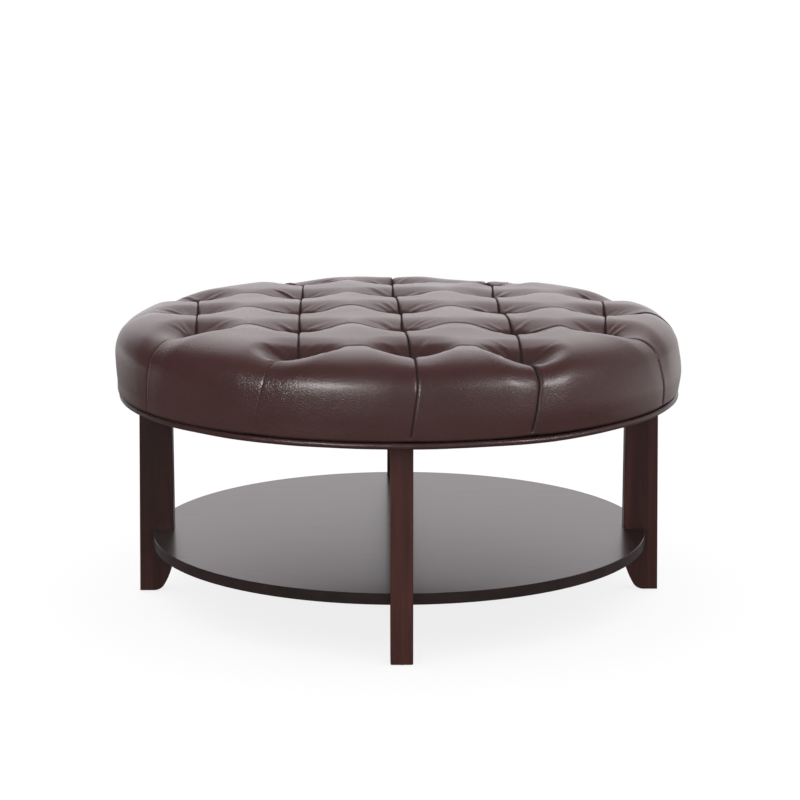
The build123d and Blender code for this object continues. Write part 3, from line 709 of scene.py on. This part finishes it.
# Geometry Nodes: a tree with named sizes, run once and kept as a plain mesh
def geometryTree(name, sizes, counts=()):
    tree = bpy.data.node_groups.new(name, "GeometryNodeTree")
    sockets = [("Geometry", "Geometry"), ("Material", "Material")]
    sockets += [(label, "Float") for label in sizes] + [(label, "Int") for label in counts]
    for label, kind in sockets:
        tree.interface.new_socket(name=label, in_out="INPUT", socket_type="NodeSocket" + kind)
    tree.interface.new_socket(name="Geometry", in_out="OUTPUT", socket_type="NodeSocketGeometry")
    sheet = NodeSheet(tree)
    return tree, sheet, sheet.add("NodeGroupInput").outputs, sheet.add("NodeGroupOutput")


def moved(sheet, geometry, **values):
    return sheet.add("GeometryNodeTransform", {0: geometry, **values}).outputs[0]


def endTree(sheet, out, geometry, material):
    whole = sheet.add("GeometryNodeRealizeInstances", {0: geometry})
    done = sheet.add("GeometryNodeSetMaterial", {0: whole.outputs[0], "Material": material})
    sheet.join(done.outputs[0], out.inputs[0])


def growPiece(name, tree, values, points=((0, 0, 0),), facings=()):
    start = bpy.data.meshes.new(name + "Start")
    start.from_pydata([tuple(p) for p in points], [], [])
    if len(facings):
        facing = start.attributes.new("facing", "FLOAT_VECTOR", "POINT")
        facing.data.foreach_set("vector", [part for way in facings for part in way])
    holder = addObject(name + "Start", start)
    modifier = holder.modifiers.new("grow", "NODES")
    modifier.node_group = tree
    for item in tree.interface.items_tree:
        if item.in_out == "INPUT" and item.name in values:
            modifier[item.identifier] = values[item.name]
    ready = holder.evaluated_get(bpy.context.evaluated_depsgraph_get())
    mesh = bpy.data.meshes.new_from_object(ready)
    bpy.data.objects.remove(holder)
    mesh.name = name
    turnOutwards(mesh, merge=1e-7)
    return addObject(name, mesh)


# Piping: leather over cord, sewn round the lower edge, its ends lapped at the back
pipingSizes = {
    "Ring Radius": 0.4480, "Level": 0.3383, "Cord Radius": 0.0049, "Wobble": 0.0016, "Droop": 0.0013,
    "Lap": 0.10, "Seed": 3.0, "droopSpot": (0.225, -0.388, 0.338), "droopReach": 0.13,
    "lapSpot": (-0.085, 0.440, 0.3386), "lapReach": (0.008, 0.011),
}


def makePipingTree():
    c = pipingSizes
    tree, sheet, given, out = geometryTree(
        "pipingRun", ["Ring Radius", "Level", "Cord Radius", "Wobble", "Droop", "Lap", "Seed"])
    ring = sheet.add("GeometryNodeCurvePrimitiveCircle", {"Resolution": 360, "Radius": given["Ring Radius"]})
    ring = moved(sheet, ring.outputs[0], Translation=sheet.xyz(Z=given["Level"]))
    where = sheet.add("GeometryNodeInputPosition").outputs[0]
    values = {"Vector": where, "W": given["Seed"], "Scale": 11.0, "Detail": 1.0}
    noise = sheet.add("ShaderNodeTexNoise", values, noise_dimensions="4D")
    wander = sheet.vector("SUBTRACT", noise.outputs["Color"], (0.5, 0.5, 0.5))
    wander = sheet.scale(wander, given["Wobble"])
    near = sheet.vector("DISTANCE", where, c["droopSpot"])
    slack = sheet.math("MULTIPLY", sheet.spread(near, 0.0, c["droopReach"], -1.0, 0.0), given["Droop"])
    offset = sheet.vector("ADD", wander, sheet.xyz(Z=slack))
    run = sheet.add("GeometryNodeSetPosition", {0: ring, "Offset": offset})
    away = sheet.vector("DISTANCE", where, c["lapSpot"])
    lap = sheet.math("MULTIPLY", sheet.spread(away, *c["lapReach"], 1.0, 0.0), given["Lap"])
    cord = sheet.add("GeometryNodeCurvePrimitiveCircle", {"Resolution": 16, "Radius": given["Cord Radius"]})
    tube = sheet.add("GeometryNodeCurveToMesh", {
        "Curve": run.outputs[0], "Profile Curve": cord.outputs[0], "Scale": sheet.math("ADD", lap, 1.0)})
    smooth = sheet.add("GeometryNodeSetShadeSmooth", {0: tube.outputs[0]})
    endTree(sheet, out, smooth.outputs[0], given["Material"])
    return tree


pipingRun = growPiece("pipingRun", makePipingTree(), {**pipingSizes, "Material": pipingLeather})
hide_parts("piping")
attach(pipingRun, "root")
print("piping made")


# Dust cloth: black sheet stapled under the seat, cut out round the four legs
clothSizes = {
    "radius": 0.4372, "level": 0.3345, "thick": 0.0005, "hem": 0.012, "hemThick": 0.0005, "hemStep": 0.0012,
    "windowInner": 0.3441, "windowOuter": 0.3711, "windowHalf": 0.0365, "slotHalf": 0.0185,
    "step": 0.012, "rowShare": 0.866, "rimSteps": 90, "ringSteps": 361, "gridHalf": 0.438,
    "gridGap": 0.006, "hemGap": 0.007, "ringGap": 0.003,
    "sag": 0.0034, "railInner": 0.040, "railOuter": 0.065, "railHalf": 0.0125, "railFade": 0.07,
    "edgeHeld": 0.012, "edgeFade": 0.16, "plateOut": 0.358, "plateFade": (0.04, 0.12),
    "rippleWaves": (7, 14, 40), "rippleShare": 0.25, "seed": 11,
    "staples": 104, "pucker": 0.0005, "puckerReach": 0.016,
}


def buildDustCloth():
    c = clothSizes
    slot, window = c["slotHalf"], c["windowHalf"]
    inside, outside = c["windowInner"], c["windowOuter"]
    corner = math.asin(slot / c["radius"])
    outline = []
    for turn in quarters:
        across = unit(turn)
        side = np.array([-across[1], across[0]])
        rim = c["radius"] * math.cos(corner)
        for out, off in ((rim, -slot), (outside, -slot), (outside, -window), (inside, -window),
                         (inside, window), (outside, window), (outside, slot)):
            outline.append(out * across + off * side)
        for step in np.linspace(corner, quarterTurn - corner, c["rimSteps"])[:-1]:
            outline.append(c["radius"] * unit(turn + step))

    def clear(spot, gap):
        # true well inside the cloth, away from its windows
        if math.hypot(*spot) > c["radius"] - gap:
            return False
        for turn in quarters:
            out = spot[0] * math.cos(turn) + spot[1] * math.sin(turn)
            off = abs(spot[1] * math.cos(turn) - spot[0] * math.sin(turn))
            inWindow = inside - gap < out < outside + gap and off < window + gap
            if inWindow or (out > outside and off < slot + gap):
                return False
        return True

    inner = []
    for row, y in enumerate(np.arange(-c["gridHalf"], c["gridHalf"], c["step"] * c["rowShare"])):
        for x in np.arange(-c["gridHalf"], c["gridHalf"], c["step"]) + (row % 2) * c["step"] / 2:
            if clear((x, y), c["gridGap"]) and math.hypot(x, y) < c["radius"] - c["hem"] - c["hemGap"]:
                inner.append((x, y))
    for reach in (c["hem"] + c["hemStep"], c["hem"], c["hem"] / 2):
        for turn in np.linspace(0, fullTurn, c["ringSteps"])[:-1] + reach:
            spot = (c["radius"] - reach) * unit(turn)
            if clear(spot, c["ringGap"]):
                inner.append(spot)
    corners = [Vector(spot) for spot in outline + inner]
    spots, _, triangles, *_ = delaunay_2d_cdt(corners, [], [list(range(len(outline)))], 1, 1e-7)
    flat = np.array([tuple(spot) for spot in spots])
    x, y = flat[:, 0], flat[:, 1]
    radius, turn = np.hypot(x, y), np.arctan2(y, x)
    middle = 0.5 * (c["railInner"] + c["railOuter"])
    offRail = smoothStep((np.abs(np.abs(y) - middle) - c["railHalf"]) / c["railFade"])
    offEdge = smoothStep((c["radius"] - c["edgeHeld"] - radius) / c["edgeFade"])
    offPlate = np.ones(len(flat))
    for plateX, plateY in (c["plateOut"] * unit(turn) for turn in quarters):
        offPlate = np.minimum(offPlate, rise(np.hypot(x - plateX, y - plateY), c["plateFade"]))
    slow = ripple(np.random.default_rng(c["seed"]), *c["rippleWaves"])
    low = c["sag"] * offRail * offEdge * offPlate * (1 + c["rippleShare"] * slow(x, y))
    gather = 0.5 + 0.5 * np.cos(c["staples"] * turn)
    low = low + c["pucker"] * gather * np.exp(-(c["radius"] - radius) / c["puckerReach"])
    level = c["level"] - np.clip(low, 0, None)
    hem = c["hemThick"] * smoothStep((radius - c["radius"] + c["hem"] + c["hemStep"]) / c["hemStep"])
    count = len(flat)
    points = list(zip(x, y, level)) + list(zip(x, y, level - c["thick"] - hem))
    faces = [tuple(face) for face in triangles]
    faces += [tuple(n + count for n in reversed(face)) for face in triangles]
    edges = dict.fromkeys(pair for a, b, d in triangles for pair in ((a, b), (b, d), (d, a)))
    faces += [(b, a, a + count, b + count) for a, b in edges if (b, a) not in edges]
    cloth = meshPiece("underCloth", points, faces, finishes["dustCloth"])
    turnOutwards(cloth.data)
    area = sum(0.5 * abs((x[b] - x[a]) * (y[d] - y[a]) - (x[d] - x[a]) * (y[b] - y[a]))
               for a, b, d in triangles)
    return cloth, area


cloth, clothArea = buildDustCloth()
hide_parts("dust_cloth")
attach(cloth, "root")
print("dust cloth made,", round(clothArea, 3), "square metres")


# Staples that hold the cloth to the hoop
stapleSizes = {
    "Count": clothSizes["staples"], "Ring Radius": 0.4325, "Level": 0.33335, "Crown": 0.0105, "Wire": 0.0009,
    "Leg": 0.0022, "Leg Gap": 0.13, "Skew": 0.22, "Seed": 7, "flatness": 1.5, "curlSpan": (0.33, 0.5),
}


def makeStapleTree():
    tree, sheet, given, out = geometryTree(
        "stapleRing", ["Ring Radius", "Level", "Crown", "Wire", "Leg", "Leg Gap", "Skew"], ["Count", "Seed"])
    flat = sheet.math("MULTIPLY", given["Wire"], stapleSizes["flatness"])
    size = sheet.xyz(X=given["Crown"], Y=flat, Z=given["Wire"])
    bar = sheet.add("GeometryNodeMeshCube", {"Size": size, "Vertices X": 7})
    where = sheet.add("GeometryNodeInputPosition").outputs[0]
    parts = sheet.split(where)
    share = sheet.math("DIVIDE", sheet.math("ABSOLUTE", parts["X"]), given["Crown"])
    curl = sheet.math("MULTIPLY", sheet.spread(share, *stapleSizes["curlSpan"]), given["Leg"])
    staple = sheet.add("GeometryNodeSetPosition", {0: bar.outputs[0], "Offset": sheet.xyz(Z=curl)})
    ring = sheet.add("GeometryNodeMeshCircle", {"Vertices": given["Count"], "Radius": given["Ring Radius"]})
    ring = moved(sheet, ring.outputs[0], Translation=sheet.xyz(Z=given["Level"]))
    turn = sheet.math("ARCTAN2", parts["Y"], parts["X"])
    offLeg = sheet.math("ABSOLUTE", sheet.math("SINE", sheet.math("MULTIPLY", turn, 2.0)))
    keep = sheet.math("GREATER_THAN", offLeg, given["Leg Gap"])
    random = sheet.add("FunctionNodeRandomValue", {2: -1.0, 3: 1.0, "Seed": given["Seed"]}, data_type="FLOAT")
    skew = sheet.math("MULTIPLY", random.outputs[1], given["Skew"])
    facing = sheet.math("ADD", sheet.math("ADD", turn, quarterTurn), skew)
    rotation = sheet.add("FunctionNodeEulerToRotation", {0: sheet.xyz(Z=facing)})
    placed = sheet.add("GeometryNodeInstanceOnPoints", {
        "Points": ring, "Selection": keep, "Instance": staple.outputs[0], "Rotation": rotation.outputs[0]})
    endTree(sheet, out, placed.outputs[0], given["Material"])
    return tree


staples = growPiece("clothStaples", makeStapleTree(), {**stapleSizes, "Material": finishes["zincSteel"]})
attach(staples, "root")
print("staples made", len(staples.data.polygons), "faces")


# Cross-recess heads over the bracket screws
headSizes = {
    "Head Radius": 0.0043, "Head Height": 0.0027, "Recess Width": 0.0011, "Recess Length": 0.0046,
    "Recess Depth": 0.0016, "screwOut": 0.3566, "flangeLow": 0.0845, "screwLevel": 0.0739, "flangeIn": 0.3672,
}


def makeHeadTree():
    tree, sheet, given, out = geometryTree(
        "crossHeads", ["Head Radius", "Head Height", "Recess Width", "Recess Length", "Recess Depth"])
    ball = sheet.add("GeometryNodeMeshUVSphere", {"Segments": 24, "Rings": 12, "Radius": 1.0})
    scale = sheet.xyz(X=given["Head Radius"], Y=given["Head Radius"], Z=given["Head Height"])
    head = moved(sheet, ball.outputs[0], Scale=scale)
    deep = sheet.math("MULTIPLY", given["Recess Depth"], 2.0)
    top = sheet.xyz(Z=given["Head Height"])
    for first, second in (("Recess Length", "Recess Width"), ("Recess Width", "Recess Length")):
        bar = sheet.add("GeometryNodeMeshCube", {"Size": sheet.xyz(X=given[first], Y=given[second], Z=deep)})
        bar = moved(sheet, bar.outputs[0], Translation=top)
        cut = sheet.add("GeometryNodeMeshBoolean", {0: head, 1: bar}, operation="DIFFERENCE", solver="EXACT")
        head = cut.outputs[0]
    facing = sheet.add("GeometryNodeInputNamedAttribute", {0: "facing"}, data_type="FLOAT_VECTOR")
    aim = sheet.add("FunctionNodeAlignRotationToVector", {"Vector": facing.outputs[0]}, axis="Z")
    placed = sheet.add("GeometryNodeInstanceOnPoints", {
        "Points": given["Geometry"], "Instance": head, "Rotation": aim.outputs[0]})
    endTree(sheet, out, placed.outputs[0], given["Material"])
    return tree


def placeHeads():
    # one under the shelf and one on the leg, at each bracket
    c = headSizes
    spots, facings = [], []
    for turn in quarters:
        out = unit(turn)
        spots.append((c["screwOut"] * out[0], c["screwOut"] * out[1], c["flangeLow"]))
        facings.append((0, 0, -1))
        spots.append((c["flangeIn"] * out[0], c["flangeIn"] * out[1], c["screwLevel"]))
        facings.append((-out[0], -out[1], 0))
    return spots, facings


heads = growPiece("bracketHeads", makeHeadTree(), {**headSizes, "Material": finishes["zincSteel"]},
                  *placeHeads())
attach(heads, "root")
print("screw heads made", len(heads.data.polygons), "faces")


# Finishes for the solids that stay
finishNodes = {
    "padFoam": ["foam_pad"], "tuftTwine": ["tuft_ties"], "shelfWood": ["shelf"], "legWood": [],
    "rawPly": ["seat_deck", "seat_hoop"], "rawPine": ["rail_front", "rail_back"], "darkNylon": [],
    "zincSteel": ["tuft_washers", "plate_bolts", "tee_nuts", "leg_screws", "bracket_screws",
                  "deck_screws", "hoop_screws", "glide_nails"],
}
for place in ("_right", "_back", "_left", "_front"):
    for name, finish in (("leg", "legWood"), ("leg_block", "rawPine"), ("leg_plate", "zincSteel"),
                         ("shelf_bracket", "zincSteel"), ("glide", "darkNylon")):
        finishNodes[finish].append(name + place)
for finish, names in finishNodes.items():
    for name in names:
        nodes[name].data.materials.clear()
        nodes[name].data.materials.append(finishes[finish])
print("finishes set")


# Studio: pale floor, white backdrop behind, darker room in front with two soft boxes
studioLook = {
    "floorHalf": 9.0, "floorPale": (0.90, 0.90, 0.90), "floorBounce": (0.36, 0.36, 0.36),
    "floorGlow": (0.75, 1.7, 0.825, 1.0), "floorGloss": (0.8, 3.2, 0.12, 0.90),
    "glossTint": (1, 0.94, 0.94), "rightSweep": 0.75,
    "ambient": 1.45, "ambientTint": (1.0, 0.955, 0.982), "wallTurn": 0.03, "wallEdge": (0.75, 0.98),
    "wall": (0.66, 0.97, 1.12, 0.06), "front": (0.48, 0.72, 0.20, 0.025), "sides": (-1.0, 1.0, 0.0, 1.9),
}
lampLook = {   # turn from the front, angle above the floor, distance, width and height, power
    "leftBox": (-29, 21.5, 2.8, (0.62, 0.38), 30),
    "rightBox": (52, 22.5, 2.8, (0.42, 0.34), 20),
    "lowFill": (5, 4, 3.4, (3.0, 1.2), 15),
}
lampTarget = (0, 0, 0.40)
cameraLook = {
    "sensor": 36, "lens": 108.74, "place": (-0.0395, -3.8674, 1.0886), "tilt": 11.276, "turn": -0.612,
}


def emptySheet(owner):
    owner.use_nodes = True
    owner.node_tree.nodes.clear()
    return NodeSheet(owner.node_tree)


def makeFloor():
    look = studioLook
    material = bpy.data.materials.new("studioFloor")
    sheet = emptySheet(material)
    pale = sheet.add("ShaderNodeBsdfDiffuse", {"Color": shaded(look["floorPale"])}).outputs[0]
    bounce = sheet.add("ShaderNodeBsdfDiffuse", {"Color": shaded(look["floorBounce"])}).outputs[0]
    glow = sheet.add("ShaderNodeEmission", {"Color": (1, 1, 1, 1), "Strength": 1.0}).outputs[0]
    path = sheet.add("ShaderNodeLightPath").outputs
    where = sheet.add("ShaderNodeTexCoord").outputs["Object"]
    away = sheet.vector("LENGTH", where)
    bright = sheet.mixShader(sheet.spread(away, *look["floorGlow"]), pale, glow)
    spot = sheet.split(where)
    right = sheet.math("MAXIMUM", spot["X"], 0.0)
    depth = sheet.math("ADD", spot["Y"], sheet.math("MULTIPLY", right, look["rightSweep"]))
    strength = sheet.spread(depth, *look["floorGloss"])
    sweep = sheet.add("ShaderNodeEmission", {"Color": shaded(look["glossTint"]), "Strength": strength})
    dim = sheet.mixShader(path["Is Glossy Ray"], bounce, sweep.outputs[0])
    mix = sheet.mixShader(path["Is Camera Ray"], dim, bright)
    sheet.join(mix, sheet.add("ShaderNodeOutputMaterial").inputs[0])
    half = look["floorHalf"]
    corners = [(-half, -half, 0), (half, -half, 0), (half, half, 0), (-half, half, 0)]
    floor = meshPiece("studioFloor", corners, [(0, 1, 2, 3)], material, smooth=False)


def makeWorld():
    look = studioLook
    world = bpy.data.worlds.new("studioWorld")
    bpy.context.scene.world = world
    sheet = emptySheet(world)
    where = sheet.add("ShaderNodeTexCoord").outputs["Generated"]
    parts = sheet.split(where)
    flat = sheet.vector("NORMALIZE", sheet.xyz(X=parts["X"], Y=parts["Y"]))
    heading = sheet.split(flat)["Y"]
    heading = sheet.math("ADD", heading, sheet.math("MULTIPLY", parts["X"], look["wallTurn"]))
    behind = sheet.spread(heading, *look["wallEdge"], kind="SMOOTHSTEP")
    wall = sheet.spread(parts["Z"], *look["wall"], kind="SMOOTHSTEP")
    front = sheet.spread(parts["Z"], *look["front"], kind="SMOOTHSTEP")
    front = sheet.math("MULTIPLY", front, sheet.spread(parts["X"], *look["sides"]))
    room = sheet.mixValue(behind, front, wall)
    path = sheet.add("ShaderNodeLightPath").outputs
    room = sheet.mixValue(path["Is Glossy Ray"], look["ambient"], room)
    strength = sheet.math("MAXIMUM", room, path["Is Camera Ray"])
    tint = sheet.mixColour(path["Is Camera Ray"], shaded(look["ambientTint"]), (1, 1, 1, 1))
    back = sheet.add("ShaderNodeBackground", {"Color": tint, "Strength": strength})
    sheet.join(back.outputs[0], sheet.add("ShaderNodeOutputWorld").inputs[0])


def areaLight(name, turn, lift, away, size, power):
    # a soft box aimed at the seat
    turn, lift = math.radians(turn), math.radians(lift)
    way = Vector((math.sin(turn) * math.cos(lift), -math.cos(turn) * math.cos(lift), math.sin(lift)))
    light = bpy.data.lights.new(name, "AREA")
    light.shape = "RECTANGLE"
    light.size, light.size_y = size
    light.energy = power
    lamp = addObject(name, light)
    lamp.location = Vector(lampTarget) + way * away
    lamp.rotation_euler = (-way).to_track_quat("-Z", "Y").to_euler()
    return lamp


def makeCamera():
    look = cameraLook
    lens = bpy.data.cameras.new("studioCamera")
    lens.sensor_width = look["sensor"]
    lens.lens = look["lens"]
    camera = addObject("studioCamera", lens)
    camera.location = look["place"]
    camera.rotation_euler = (math.radians(90 - look["tilt"]), 0, math.radians(look["turn"]))
    bpy.context.scene.camera = camera


makeFloor()
makeWorld()
lamps = {name: areaLight(name, *look) for name, look in lampLook.items()}
lamps["lowFill"].visible_glossy = False
lamps["leftBox"].visible_diffuse = lamps["rightBox"].visible_diffuse = False
makeCamera()
bpy.context.scene.view_settings.view_transform = "Standard"
print("studio made")
